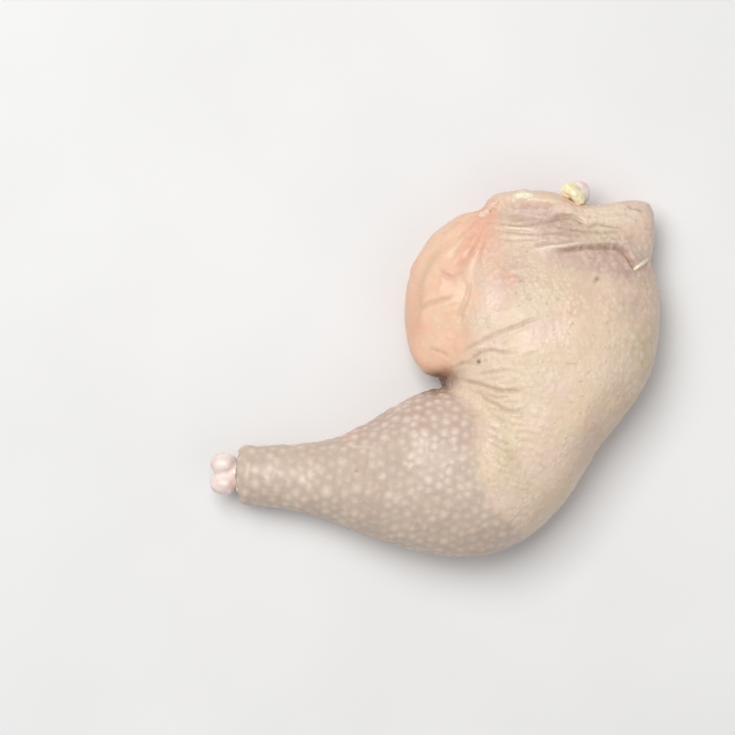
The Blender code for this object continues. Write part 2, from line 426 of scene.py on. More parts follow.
# Stretched skin running down from the torn corner at the hip: path, width and height.
LOBE_STREAKS = (
    (((-10, 94), (-13.5, 88), (-17, 81), (-20.5, 73.5)), 1.3, 0.75),
    (((-12.5, 92.5), (-17, 87), (-22, 82), (-27.5, 76)), 1.0, 0.55),
    (((-9.5, 90), (-11.5, 84), (-13.5, 77), (-13.8, 71)), 0.9, 0.40),
)

# Folds in the loose skin along the hip edge: path, width, depth and darkness, the painted shade in them.
HIP_CREASES = (
    (((-9.5, 89.4), (-6, 88.8), (-2, 88.4), (3.5, 88.7), (8, 89.4)), 0.50, 0.45, 0.32),
    (((-11, 86.9), (-6, 86.3), (-1, 85.8), (6, 85.2), (12, 85.9)), 0.55, 0.40, 0.24),
    (((8, 89.2), (10.7, 90.2), (14.6, 91.3), (18.7, 90.9), (21.3, 89.1), (24, 87.9)), 0.60, 0.60, 0.40),
    (((22, 88.6), (24, 87.9), (26.7, 88.8), (29.3, 88.4), (33.8, 87.5), (37, 87.8)), 0.50, 0.50, 0.36),
    (((12, 87.4), (18, 86.6), (23, 86.1), (29, 85.9), (38, 86.2)), 0.50, 0.40, 0.30),
    (((-10, 84), (-4, 83.1), (3, 83.3), (9, 82.8)), 0.50, 0.25, 0.14),
    (((25, 92.6), (31, 91.9), (37, 92.2), (42, 90.5)), 0.60, 0.30, 0.14),
    (((30, 84.0), (36, 83.6), (42, 84.8)), 0.60, 0.30, 0.14),
    (((2, 80.4), (7.1, 81.7), (12.5, 82.0), (17, 82.5), (22, 84)), 0.55, 0.45, 0.28),
    (((37.5, 95.4), (39.8, 94.8), (42.7, 93.8), (44.3, 92)), 0.55, 0.50, 0.32),
    (((6, 84.5), (12, 85.8), (18, 85.4)), 0.45, 0.25, 0.14),
)

# Narrow ridges between those folds, lit along their tops: path, width, height and paleness, a painted
# highlight.
HIP_RIDGES = (
    (((-7.4, 87.4), (-2, 87.2), (5.4, 86.8)), 0.50, 0.45, 0.95),
    (((23, 87.1), (29, 87.0), (36, 86.9)), 0.50, 0.40, 0.80),
    (
        ((1.5, 79.2), (7.1, 79.9), (10.7, 80.6), (16.9, 81.0), (20.9, 82.0), (26, 82.3)),
        0.60, 0.55, 0.80,
    ),
    (((6, 92.5), (12, 93.3), (19, 92.6), (24, 90.4), (30, 90.3)), 1.10, 0.45, 0.25),
)

# The lower edge of the thick fold along the hip, and the rolled edge above it.
FOLD_EDGE = (
    (10, 79.4), (16.9, 79.9), (23.5, 80.6), (30.2, 80.7),
    (34.1, 80.5), (36.6, 79), (39.3, 74.6), (41, 72),
)
ROLLED_EDGE = ((-8, 97.4), (0, 98.2), (10, 97), (20, 93.6), (30, 93.4), (40, 96.4))

# A raised fold across the drumstick where the shank's skin starts, its top paled as a painted highlight.
LIT_FOLD = ((-62.5, 11.6), (-59, 10.4), (-54, 10.3), (-49.0, 8.6))

# Small lumps of the knee and of the torn hip edge: centre, size and height.
SMALL_LUMPS = (
    ((-20.9, 32.0), 1.2, 0.55),
    ((-15.6, 45.3), 1.9, 0.4),
    ((-10.0, 46.8), 2.6, 0.3),
    ((-9.3, 95.7), 1.5, 1.2),
    ((-12.2, 92.7), 1.5, 1.0),
    ((0.9, 100.0), 1.6, 1.1),
)

# Open pores: centre, size and darkness.
PORES = (
    ((-15.3, 40.1), 0.85, 1.0),
    ((-12.9, 40.8), 0.5, 0.45),
    ((26.3, 69.2), 0.75, 0.75),
    ((-58, 2), 0.5, 0.5),
    ((13.5, 57), 0.5, 0.35),
)


def shape_forms(skin):
    """The broad forms: the valley beside the lobe and the thick fold along the hip edge."""
    groove(skin, VALLEY, 2.4, 0.7, lips=0.15, fade=0.3)
    for path, width, depth, lips in LOBE_CREASES:
        # The lobe's creases get a little painted shade.
        groove(skin, path, width, depth, lips=lips, fade=0.3, darken=0.20)
    for path, width, height in LOBE_STREAKS:
        ridge(skin, path, width, height)
    # Painted shadow under the fold's lower edge.
    ledge(skin, FOLD_EDGE, rise=1.6, width=0.8, reach=7.0, darken=0.62)
    sunken = blob(skin.points, (5.5, 92.6), (14, 3.2), turn=-4) * skin.facing_up()
    skin.push(-0.9 * sunken)
    ridge(skin, ROLLED_EDGE, 1.6, 0.8, fade=0.1)


def shape_creases(skin):
    """The creases of the knee and the hip edge with painted shade in them, the ridges between them with
    painted highlights, and the small lumps and the lit fold across the drumstick among them.
    """
    for path, width, depth, dark in KNEE_CREASES + HIP_CREASES:
        groove(skin, path, width, depth, darken=dark)
    for path, width, height, pale in HIP_RIDGES:
        ridge(skin, path, width, height, pale=pale)
    ridge(skin, LIT_FOLD, 0.6, 0.4, pale=0.55)
    for centre, size, height in SMALL_LUMPS:
        distance = distance_from_above(skin.points, centre)
        skin.push(height * bell(distance, size) * skin.facing_up(-0.3, 0.3))


def ripples(skin, run, spacing, lumps, grain):
    """Waves with so much between their crests along the run, bent by the skin's own unevenness."""
    bent = run + lumps * skin.lumps + grain * skin.grain
    return np.sin(2 * math.pi * bent / spacing)


def knee_wrinkles(skin):
    """Short wrinkles that fan out from a place to the left of the fold behind the knee."""
    x, y, _ = skin.points.T
    where = blob(skin.points, (-4, 15), (15, 27), turn=8) * skin.facing_up()
    fan = np.arctan2(y - 24, x + 62)
    return ripples(skin, fan * 55, 2.4, 1.3, 0.25) * where * (1 - skin.masks["drumstick"])


def hip_wrinkles(skin):
    """Wrinkles that run along the folded hip edge."""
    x, y, _ = skin.points.T
    where = blob(skin.points, (16, 88.5), (30, 7.5), turn=-2) * skin.facing_up()
    return ripples(skin, y - 0.5 * np.sin(x / 5), 2.1, 1.2, 0.3) * where


def lobe_wrinkles(skin):
    """Wrinkles that fan out from the torn corner over the lobe's upper end."""
    x, y, _ = skin.points.T
    where = blob(skin.points, (-21, 76), (13, 17), turn=20) * skin.masks["lobe"] * skin.facing_up()
    fan = np.arctan2(y - 96, x + 7)
    return ripples(skin, fan * 14, 2.6, 0.8, 0.3) * where


def fine_wrinkles(skin):
    """The many small wrinkles, which break off here and there."""
    broken = smoothstep(skin.grain + 0.4 * skin.lumps, -0.3, 0.4)
    wrinkles = knee_wrinkles(skin) + 1.2 * hip_wrinkles(skin) + 1.1 * lobe_wrinkles(skin)
    wrinkles *= broken
    skin.push(0.13 * wrinkles)
    # Painted shade in the wrinkles' troughs and painted highlight on their crests.
    skin.darken(0.12 * np.maximum(-wrinkles, 0))
    skin.lighten(0.12 * np.maximum(wrinkles, 0))


def drumstick_rings(points):
    """For each point of the drumstick, the middle and the radius of the ring of skin that it is on."""
    x, y, _ = points.T
    ring_width = 3.0
    edges = np.arange(x.min(), 12, ring_width)
    middles, radii = [], []
    for edge in edges:
        ring = points[(x > edge) & (x < edge + ring_width) & (y < 32)]
        low, high = np.percentile(ring[:, 1], (1, 99))
        middles.append((low + high) / 2)
        radii.append((high - low + ring[:, 2].max()) / 4)
    centres = edges + ring_width / 2
    return np.interp(x, centres, middles), np.interp(x, centres, radii)


def drumstick_bumps(points):
    """Strong feather bumps, each with its own width and height."""
    x, y, z = points.T
    middle, radius = drumstick_rings(points)
    across, along = unrolled(-x, y, z, middle, radius, level=0.8 * radius, turn=math.radians(24))
    distance, own = lattice(across, along, DRUMSTICK_PITCH, DRUMSTICK_STRAY)
    return bell(distance, 1.05 + 0.5 * own) * (0.45 + 0.6 * own)


def thigh_bumps(points):
    """Faint feather bumps over the broad muscle of the thigh."""
    x, y, z = points.T
    across, along = unrolled(y, x, z, middle=10.0, radius=36.0, level=6.0, turn=0.5)
    distance, own = lattice(across, along, THIGH_PITCH, THIGH_STRAY)
    return bell(distance, 1.15) * (0.4 + 0.6 * own)


def goose_bumps(skin):
    """Raised feather bumps: high and pale on the drumstick, faint on the thigh, few on the lobe."""
    x, y, z = skin.points.T
    strong = drumstick_bumps(skin.points) * skin.masks["drumstick"]
    faint = thigh_bumps(skin.points)
    uneven = np.clip(0.90 + 0.3 * skin.lumps, 0.5, 1.3)
    off_floor = smoothstep(z, 0.8, 3.5)

    upper_edge = smoothstep(y, 4, 24) * smoothstep(-x, 16, 28)
    lower_side = smoothstep(-y, 4, 22)
    strong *= (0.85 + 0.45 * upper_edge - 0.10 * lower_side) * uneven
    skin.push(0.46 * strong * off_floor)

    off_lobe = 1 - 0.85 * skin.masks["lobe"]
    outer_side = np.maximum(smoothstep(x + 0.25 * y, 34, 50), smoothstep(28 - z, 0, 12))
    faint *= (1 - skin.masks["drumstick"]) * off_lobe * (1 - skin.masks["flesh"])
    faint *= 0.30 + 0.70 * outer_side
    skin.push(0.32 * faint * uneven * off_floor)
    skin.masks["bump"] = np.clip(1.25 * strong + 0.85 * faint, 0, 1)


# Coloured patches: strength, centre, half sizes and turn in degrees.
FLUSHED = (
    (1.00, (-15.0, 86.5), (4.0, 6.5), -30),
    (0.60, (-10.5, 80.0), (5.0, 9), 8),
    (0.70, (-20.0, 78.0), (2.6, 9), -38),
    (0.95, (-3.9, 69.6), (1.9, 2.4), 0),
    (0.70, (-9.8, 94.5), (3.0, 3.4), 0),
    (0.45, (-38.5, 58), (3.2, 18), 0),
    (0.35, (-22, 50), (5, 7), 0),
    (0.30, (-27, 68), (5, 6), 0),
    (0.40, (-60.5, 15.0), (3.0, 3.0), 0),
    (0.25, (16, 58), (5, 5), 0),
    (0.25, (28, 62), (4, 6), 20),
    (0.32, (40, 90), (7, 8), 0),
    (0.32, (10, 97), (17, 2.5), -4),
    (0.25, (-9, 66), (5, 9), 10),
)
# Mauve skin, and painted shade under the hip fold's lower edge and down the thigh's outer side.
MAUVE_AND_SHADE_PATCHES = (
    (0.32, (14, 77), (26, 13), 0),
    (1.00, (5.0, 92.4), (13, 3.4), -4),
    (0.60, (15, 86), (8, 3.4), 0),
    (0.90, (34, 75.5), (9, 5.0), -20),
    (0.60, (20, 76), (10, 4.0), 0),
    (0.50, (40, 64), (7, 10), 0),
    (0.35, (44, 50), (5, 14), 0),
    (0.35, (30, 20), (6, 18), -32),
    (0.30, (-2, 66), (8, 6), 20),
    (0.55, (-21, 15.5), (5.5, 7.5), 10),
    (0.70, (-45, 21.5), (19, 5.0), 29),
    (0.35, (-33, 20), (10, 6), 25),
    (0.40, (-3, 73), (6, 5), 0),
)
YELLOWED = (
    (0.90, (43.5, 45), (4.0, 10), 8),
    (0.40, (36, 40), (6, 16), 0),
    (0.50, (-25, 54), (5.0, 7), 0),
    (0.35, (-25, 72), (5, 8), 0),
    (0.35, (-10, 26), (4, 7), 0),
    (0.55, (-7, 15), (5, 10), 8),
    (0.40, (2, 34), (9, 9), 0),
    (0.40, (0, 4), (8, 14), 0),
    (0.35, (8, 60), (9, 7), 0),
    (0.40, (26, 84), (8, 2.5), 0),
    (0.40, (40, 22), (4, 12), -20),
)

PALE_PATCHES = (
    (0.60, (1.2, 100), (2.4, 1.8), 0),
    (0.75, (33, 91.5), (11, 3.2), 0),
    (0.30, (5, 97.3), (10, 1.5), 0),
)


def blobs(skin, patches):
    """A mask with soft, uneven patches."""
    total = np.zeros(len(skin.points))
    for strength, centre, half_sizes, turn in patches:
        total += strength * blob(skin.points, centre, half_sizes, turn, sharpness=0.8)
    return np.clip(total * (1 + 0.35 * skin.lumps), 0, 1)


def border_at(y, border):
    """How far along x a border lies, for each y. The border's places go steadily up in y."""
    xs, ys = np.array(border, float).T
    return np.interp(y, ys, xs)


def above_fold(skin):
    """How far above the fold behind the knee each point lies, negative below it."""
    x, y, _ = skin.points.T
    return y - FOLD_POINT[1] - FOLD_SLOPE * (x - FOLD_POINT[0])


def drumstick_zone(skin):
    """The bumpy skin, whose border wanders more and is softer low down at the side."""
    x, y, z = skin.points.T
    under_knee = smoothstep(14 - z, 0, 12) * smoothstep(8 - y, 0, 12)
    edge = border_at(y, DRUMSTICK_BORDER) + 5.0 * under_knee
    wander = 2.0 * skin.lumps + 1.4 * skin.grain
    low_side = smoothstep(32 - z, 0, 16) * smoothstep(-y, 0, 14)
    inside = edge - x + wander * (1 + 1.6 * low_side)
    below_fold = smoothstep(-above_fold(skin), -0.6, 1.6)
    return smoothstep(inside / (1 + 1.8 * low_side), -3.0, 4.6) * below_fold


def lobe_zone(skin):
    """The loose peach-coloured skin left of the valley."""
    x, y, _ = skin.points.T
    left_of_valley = border_at(y, VALLEY[::-1]) - x + 2.6 * skin.lumps
    return smoothstep(left_of_valley, -6.0, 4.5) * smoothstep(above_fold(skin), -2.0, 0.5)


def shaded_edge(skin):
    """Painted shade low down along the knee's outer edge, where the skin turns down towards the floor."""
    x, y, z = skin.points.T
    return 0.8 * smoothstep(17 - z, 0, 9) * smoothstep(-y, 8, 17) * smoothstep(x, -56, -8)


def zone_masks(skin):
    """Where the skin of each look lies."""
    flesh = hip_cut(skin) + ankle_cut(skin)
    skin.masks["drumstick"] = drumstick_zone(skin)
    skin.masks["lobe"] = lobe_zone(skin)
    skin.masks["flesh"] = smoothstep(flesh, 0.35, 0.65)
    skin.masks["rim"] = 4 * flesh * (1 - flesh)
    skin.masks["flush"] = blobs(skin, FLUSHED)
    # The mauve mask carries the skin's mauve patches and painted shade.
    skin.masks["mauve_and_shade"] = np.maximum(blobs(skin, MAUVE_AND_SHADE_PATCHES), shaded_edge(skin))
    skin.masks["yellow"] = blobs(skin, YELLOWED)
    skin.masks["crease"] = np.zeros(len(skin.points))
    skin.masks["pale"] = blobs(skin, PALE_PATCHES)


def hip_cut(skin):
    """The cut face at the hip, below the folded skin."""
    x, y, z = skin.points.T
    facing = smoothstep(skin.normals[:, 1], 0.35, 0.7)
    under_fold = smoothstep(-skin.normals[:, 2], -0.25, 0.05)
    return facing * smoothstep(y, 91.5, 93.0) * under_fold * smoothstep(x, -14, -11)


def ankle_cut(skin):
    """The open end of the skin round the ankle knobs."""
    return smoothstep(-skin.normals[:, 0], 0.75, 0.92) * smoothstep(-skin.points[:, 0], 98, 100)


def shape_cuts(skin):
    """Sinks the flesh at both cuts, so that the skin's edge stands up round it."""
    x, y, z = skin.points.T
    flesh = skin.masks["flesh"]
    hip = flesh * (y > 50)
    distance, _ = lattice(0.75 * x + 2.2 * skin.lumps, 1.2 * z + 0.15 * x, 12.0, 6.0)
    bundle = smoothstep(distance, 6.5, 2.5)
    skin.points[:, 1] += hip * (1.3 * bundle - 1.7)
    skin.masks["fascia"] = 0.55 * hip * smoothstep(distance, 5.2, 7.0)
    ankle = flesh * (y <= 50)
    skin.points[:, 0] += ankle * 2.0
    cuff = bell(x + 98.2, 2.4) * (1 - flesh)
    skin.push(0.7 * cuff * (1 + 0.8 * skin.lumps))
    skin.points[:, 0] += 1.3 * bell(x + 100, 3.0) * skin.lumps


def darken_deep_places(skin):
    """The bottom of the fold behind the knee, its wet brown skin darkened further by painted shade, and a
    few pores.
    """
    # Painted shade deep in the fold, where the lobe and the drumstick overhang it.
    throat = blob(skin.points, (-29.5, 33.4), (8.0, 3.8), turn=18, sharpness=0.8)
    deep = throat * smoothstep(36 - skin.points[:, 2], 0, 10)
    skin.darken(0.92 * deep)
    for centre, size, dark in PORES:
        spot = dark * bell(distance_from_above(skin.points, centre), size) * skin.facing_up()
        skin.push(-0.35 * spot)
        skin.darken(spot)


def make_skin():
    obj = merged_copy("leg_skin", "leg")
    fine_body(obj, SKIN_VOXEL, SKIN_SOFTENING)
    thin_hidden(obj, "thigh_bone", "shank_bone")
    skin = Surface(obj)
    skin.lumps = rough_noise(skin.points, 9.0, seed=3.1) * 1.6
    skin.grain = rough_noise(skin.points, 2.6, seed=8.4) * 1.6
    zone_masks(skin)
    shape_forms(skin)
    skin.measure_normals()
    shape_creases(skin)
    fine_wrinkles(skin)
    shape_cuts(skin)
    skin.measure_normals()
    skin.push((0.28 + 0.22 * skin.masks["lobe"]) * skin.lumps * smoothstep(skin.points[:, 2], 1, 5))
    skin.push(0.09 * skin.grain * smoothstep(skin.points[:, 2], 1, 5))
    skin.measure_normals()
    goose_bumps(skin)
    darken_deep_places(skin)
    skin.points[:, 2] = np.maximum(skin.points[:, 2], 0.0)
    skin.write_points()
    skin.save_masks()
    obj.data.shade_smooth()
    return obj


# ---- bones and fat ------------------------------------------------------------------------------

# Tendon ends round the shank bone: angle in degrees, length and radius.
TENDONS = ((15, 3.0, 1.7), (78, 2.2, 1.4), (140, 3.2, 1.8), (210, 2.2, 1.4), (300, 2.6, 1.6))


def fine_copy(name, node, voxel, lump_size, lump_height):
    """A refined copy of a small solid, made lumpy."""
    obj = merged_copy(name, node)
    fine_body(obj, voxel, 4)
    surface = Surface(obj)
    surface.push(lump_height * rough_noise(surface.points, lump_size, seed=5.2))
    surface.write_points()
    obj.data.shade_smooth()
    return obj


def top_of(obj, x, y):
    """How high the piece reaches at a place, in millimetres."""
    above = to_metres((x, y, 200))
    found, place, _, _ = obj.ray_cast(above, Vector((0, 0, -1)))
    return place.z / MM if found else 0.0


def strand(name, stations):
    """A soft string of tissue: the stations are places in millimetres, each with its radius."""
    curve = bpy.data.curves.new(name, "CURVE")
    curve.dimensions = "3D"
    curve.bevel_depth = MM
    curve.bevel_resolution = 3
    curve.use_fill_caps = True
    line = curve.splines.new("NURBS")
    line.points.add(len(stations) - 1)
    for point, (x, y, z, radius) in zip(line.points, stations):
        point.co = (*to_metres((x, y, z)), 1.0)
        point.radius = radius
    line.order_u = 3
    line.use_endpoint_u = True
    obj = bpy.data.objects.new(name, curve)
    bpy.context.scene.collection.objects.link(obj)
    make_active(obj)
    bpy.ops.object.convert(target="MESH")
    return obj


def joined(first, *others):
    make_active(first)
    for obj in others:
        obj.select_set(True)
    bpy.ops.object.join()
    return first


def soften(obj, voxel, lump_size, lump_height, smoothing=5):
    """Melts a piece's parts into one lumpy skin."""
    apply_modifier(obj, "REMESH", mode="VOXEL", voxel_size=voxel)
    apply_modifier(obj, "SMOOTH", factor=0.5, iterations=smoothing)
    surface = Surface(obj)
    surface.push(lump_height * rough_noise(surface.points, lump_size, seed=2.6))
    surface.write_points()
    obj.data.shade_smooth()
    return obj


def make_fat():
    """The yellow lump on the hip bone, smeared down its side."""
    lump = merged_copy("fat_lump", "hip_fat")
    stations = (
        (15.6, 102.2, 25.6, 1.6),
        (18.2, 100.6, 25.8, 2.3),
        (20.6, 97.6, 24.8, 2.0),
        (21.4, 95.9, 24.2, 1.1),
    )
    return soften(joined(lump, strand("smear", stations)), 0.25 * MM, 1.9, 0.55)


def laid_on(obj, rows):
    """Stations whose given height is measured from the top of a piece."""
    return [(x, y, top_of(obj, x, y) + lift, radius) for x, y, lift, radius in rows]


def make_torn_skin(skin):
    """The curls of skin at the hip's left corner."""
    curls = (
        [(-14.2, 91.0, -0.9, 1.0), (-12.6, 92.9, -0.3, 1.8), (-10.9, 93.0, -0.7, 1.2)],
        [(-10.9, 94.4, -0.8, 1.0), (-9.6, 95.6, -0.3, 1.9), (-7.6, 96.4, -0.9, 1.1)],
    )
    parts = [strand("torn_skin", laid_on(skin, rows)) for rows in curls]
    return soften(joined(*parts), 0.25 * MM, 1.6, 0.5)


def make_fat_slivers(skin):
    """The fat that peeps out below the fold at the hip's right end, and the bit on its cut edge."""
    under_fold = [
        (39.6, 72.4, -0.5, 0.5),
        (41.2, 73.9, -0.2, 0.9),
        (43.2, 75.5, -0.3, 1.0),
        (44.9, 76.4, -0.8, 0.6),
    ]
    on_edge = [(-2.5, 98.2, -1.2, 1.2), (0.8, 98.9, -0.5, 1.9), (4.4, 98.2, -1.3, 1.2)]
    parts = [strand("fat_slivers", laid_on(skin, rows)) for rows in (under_fold, on_edge)]
    return soften(joined(*parts), 0.2 * MM, 1.2, 0.25)


def make_tendons():
    """The cut ends of the tendons round the shank bone."""
    ring_y, ring_z, ring_radius = 0.5, 14.2, 6.6
    flesh_x = -97.5
    stubs = []
    for angle, length, radius in TENDONS:
        turn = math.radians(angle)
        y = ring_y + ring_radius * math.cos(turn)
        z = ring_z + ring_radius * math.sin(turn)
        root = (flesh_x + 2.5, y, z, radius)
        middle = (flesh_x - length / 2, y, z, radius)
        tip = (flesh_x - length, y, z, 0.7 * radius)
        stubs.append(strand("tendons", (root, middle, tip)))
    return soften(joined(*stubs), 0.25 * MM, 1.2, 0.2)


def make_fold_web():
    """The skin deep in the fold between the lobe and the drumstick: a mound of wet flesh, coloured dark
    as painted shade.
    """
    mound = (
        (-18, 34.8, 15, 8.0),
        (-21.5, 34.8, 11, 7.0),
        (-24.0, 34.8, 6, 5.0),
        (-25.0, 34.8, 1, 3.6),
    )
    web = soften(strand("shaded_fold_web", mound), 0.5 * MM, 4.0, 0.7)
    surface = Surface(web)
    surface.points[:, 2] = np.maximum(surface.points[:, 2], 0.0)
    surface.write_points()
    return web


# ---- materials ----------------------------------------------------------------------------------


class Nodes:
    """Adds shader nodes to one tree and joins them."""

    def __init__(self, tree):
        self.tree = tree

    def add(self, kind, **settings):
        node = self.tree.nodes.new(kind)
        for name, value in settings.items():
            setattr(node, name, value)
        return node

    def feed(self, socket, value):
        if isinstance(value, bpy.types.NodeSocket):
            self.tree.links.new(value, socket)
        elif isinstance(value, tuple) and len(value) == 3 and socket.type == "RGBA":
            socket.default_value = (*value, 1.0)
        else:
            socket.default_value = value

    def mask(self, name):
        node = self.add("ShaderNodeAttribute", attribute_type="GEOMETRY", attribute_name=name)
        return node.outputs["Fac"]

    def place(self):
        return self.add("ShaderNodeTexCoord").outputs["Object"]

    def stretched(self, vector, scale):
        node = self.add("ShaderNodeMapping")
        self.feed(node.inputs["Vector"], vector)
        node.inputs["Scale"].default_value = scale
        return node.outputs["Vector"]

    def noise(self, vector, size, detail=2.0, roughness=0.5, distortion=0.0):
        """Noise from 0 to 1 whose lumps are size metres wide."""
        node = self.add("ShaderNodeTexNoise")
        self.feed(node.inputs["Vector"], vector)
        node.inputs["Scale"].default_value = 1.0 / size
        node.inputs["Detail"].default_value = detail
        node.inputs["Roughness"].default_value = roughness
        node.inputs["Distortion"].default_value = distortion
        return node.outputs["Fac"]

    def wavering(self, vector, size, reach):
        """The same places, each moved by noise up to about reach metres."""
        node = self.add("ShaderNodeTexNoise")
        self.feed(node.inputs["Vector"], vector)
        node.inputs["Scale"].default_value = 1.0 / size
        centred = self.add("ShaderNodeVectorMath", operation="SUBTRACT")
        self.feed(centred.inputs[0], node.outputs["Color"])
        centred.inputs[1].default_value = (0.5, 0.5, 0.5)
        moved = self.add("ShaderNodeVectorMath", operation="MULTIPLY_ADD")
        self.feed(moved.inputs[0], centred.outputs["Vector"])
        moved.inputs[1].default_value = (2 * reach, 2 * reach, 2 * reach)
        self.feed(moved.inputs[2], vector)
        return moved.outputs["Vector"]

    def remap(self, value, low, high, to_low=0.0, to_high=1.0):
        node = self.add("ShaderNodeMapRange", interpolation_type="SMOOTHSTEP")
        self.feed(node.inputs["Value"], value)
        node.inputs["From Min"].default_value = low
        node.inputs["From Max"].default_value = high
        node.inputs["To Min"].default_value = to_low
        node.inputs["To Max"].default_value = to_high
        return node.outputs["Result"]

    def math(self, operation, first, second=0.5):
        node = self.add("ShaderNodeMath", operation=operation)
        self.feed(node.inputs[0], first)
        self.feed(node.inputs[1], second)
        return node.outputs["Value"]

    def blend(self, share, first, second):
        node = self.add("ShaderNodeMix", data_type="RGBA", blend_type="MIX")
        self.feed(node.inputs["Factor"], share)
        self.feed(node.inputs["A"], first)
        self.feed(node.inputs["B"], second)
        return node.outputs["Result"]

    def bump(self, height, strength, distance, normal=None):
        node = self.add("ShaderNodeBump")
        self.feed(node.inputs["Height"], height)
        node.inputs["Strength"].default_value = strength
        node.inputs["Distance"].default_value = distance
        if normal is not None:
            self.feed(node.inputs["Normal"], normal)
        return node.outputs["Normal"]


def wet_material(name, scatter_radius):
    """An empty moist material: its tree's Nodes and its shader."""
    made = bpy.data.materials.new(name)
    made.use_nodes = True
    shader = made.node_tree.nodes["Principled BSDF"]
    shader.inputs["Subsurface Weight"].default_value = 0.18
    shader.inputs["Subsurface Radius"].default_value = scatter_radius
    shader.inputs["Subsurface Scale"].default_value = 2.0 * MM
    shader.inputs["Specular IOR Level"].default_value = 0.42
    return made, Nodes(made.node_tree), shader


def wet_gloss_group():
    """Uneven wetness: where the surface shines, and where it's duller."""
    group = bpy.data.node_groups.new("uneven wetness", "ShaderNodeTree")
    face = group.interface
    for name in ("Dull", "Shiny", "Patch Size"):
        face.new_socket(name, in_out="INPUT", socket_type="NodeSocketFloat")
    face.new_socket("Roughness", in_out="OUTPUT", socket_type="NodeSocketFloat")
    nodes = Nodes(group)
    inputs = nodes.add("NodeGroupInput")
    outputs = nodes.add("NodeGroupOutput")
    patches = nodes.add("ShaderNodeTexNoise")
    nodes.feed(patches.inputs["Vector"], nodes.place())
    nodes.feed(patches.inputs["Scale"], nodes.math("DIVIDE", 1.0, inputs.outputs["Patch Size"]))
    patches.inputs["Detail"].default_value = 3.0
    share = nodes.remap(patches.outputs["Fac"], 0.35, 0.68)
    mixed = nodes.add("ShaderNodeMix", data_type="FLOAT")
    nodes.feed(mixed.inputs["Factor"], share)
    nodes.feed(mixed.inputs["A"], inputs.outputs["Dull"])
    nodes.feed(mixed.inputs["B"], inputs.outputs["Shiny"])
    nodes.feed(outputs.inputs["Roughness"], mixed.outputs["Result"])
    return group


def wet_gloss(nodes, dull, shiny, patch_size):
    node = nodes.add("ShaderNodeGroup", node_tree=bpy.data.node_groups["uneven wetness"])
    node.inputs["Dull"].default_value = dull
    node.inputs["Shiny"].default_value = shiny
    node.inputs["Patch Size"].default_value = patch_size
    return node.outputs["Roughness"]


# Colours of the skin, flesh, fat and bone.
CREAM = (0.760, 0.590, 0.420)
PINK_CREAM = (0.780, 0.595, 0.485)
OLIVE_CREAM = (0.640, 0.520, 0.340)
PEACH = (0.88, 0.545, 0.380)
WARM_CREAM = (0.86, 0.600, 0.415)
GREY_MAUVE = (0.560, 0.430, 0.350)
DRUM_GROUND = (0.590, 0.465, 0.365)
BUMP_PALE = (0.800, 0.660, 0.545)
SALMON = (0.800, 0.400, 0.285)
# Mauve skin, also used for painted shade.
MAUVE_AND_SHADE_TINT = (0.520, 0.350, 0.290)
YELLOW_GREEN = (0.600, 0.500, 0.290)
# The brown of painted shade in creases and hollows, and of dark pores.
SHADE_AND_PORE_BROWN = (0.230, 0.110, 0.055)
# Pale skin, also used for painted highlights on ridge tops and wrinkle crests.
PALE_AND_HIGHLIGHT = (0.900, 0.780, 0.620)
SPECK_PALE = (0.900, 0.780, 0.630)
PIT_BROWN = (0.480, 0.330, 0.240)
RAW_FLESH = (0.600, 0.240, 0.200)
FLESH_LIGHT = (0.680, 0.320, 0.270)
FLESH_PALE = (0.800, 0.520, 0.440)
FAT_RIM = (0.880, 0.720, 0.520)
FAT_YELLOW = (0.960, 0.830, 0.480)
FAT_PALE = (0.960, 0.880, 0.680)
FAT_PEACH = (0.860, 0.690, 0.480)
CARTILAGE = (0.930, 0.860, 0.800)
BONE_BLUSH = (0.880, 0.720, 0.660)
TORN_PINK = (0.840, 0.560, 0.430)
TORN_PALE = (0.860, 0.630, 0.500)
KNOB_PINK = (0.880, 0.690, 0.630)
TENDON = (0.900, 0.800, 0.700)
# Wet brown flesh deep in the fold, darkened as painted shade.
FOLD_SHADE_DARK = (0.300, 0.170, 0.105)
FOLD_SHADE_MAUVE = (0.290, 0.190, 0.160)


def crepe_group():
    """The fine relief of plucked skin: pale raised grains with darker pits between them."""
    group = bpy.data.node_groups.new("crepe", "ShaderNodeTree")
    group.interface.new_socket("Grain Size", in_out="INPUT", socket_type="NodeSocketFloat")
    for name in ("Grains", "Pits"):
        group.interface.new_socket(name, in_out="OUTPUT", socket_type="NodeSocketFloat")
    nodes = Nodes(group)
    inputs = nodes.add("NodeGroupInput")
    outputs = nodes.add("NodeGroupOutput")
    place = nodes.place()
    per_metre = nodes.math("DIVIDE", 1.0, inputs.outputs["Grain Size"])
    cells = nodes.add("ShaderNodeTexVoronoi", feature="SMOOTH_F1")
    nodes.feed(cells.inputs["Vector"], nodes.wavering(place, 0.004, 0.0012))
    nodes.feed(cells.inputs["Scale"], per_metre)
    cells.inputs["Smoothness"].default_value = 0.6
    cells.inputs["Randomness"].default_value = 0.85
    presence = nodes.remap(nodes.noise(place, 0.007, detail=3.0), 0.30, 0.65, 0.25, 1.0)
    grains = nodes.remap(cells.outputs["Distance"], 0.05, 0.72, 1.0, 0.0)
    nodes.feed(outputs.inputs["Grains"], nodes.math("MULTIPLY", grains, presence))
    nodes.feed(outputs.inputs["Pits"], nodes.remap(nodes.noise(place, 0.0021, detail=2.0), 0.63, 0.76))
    return group


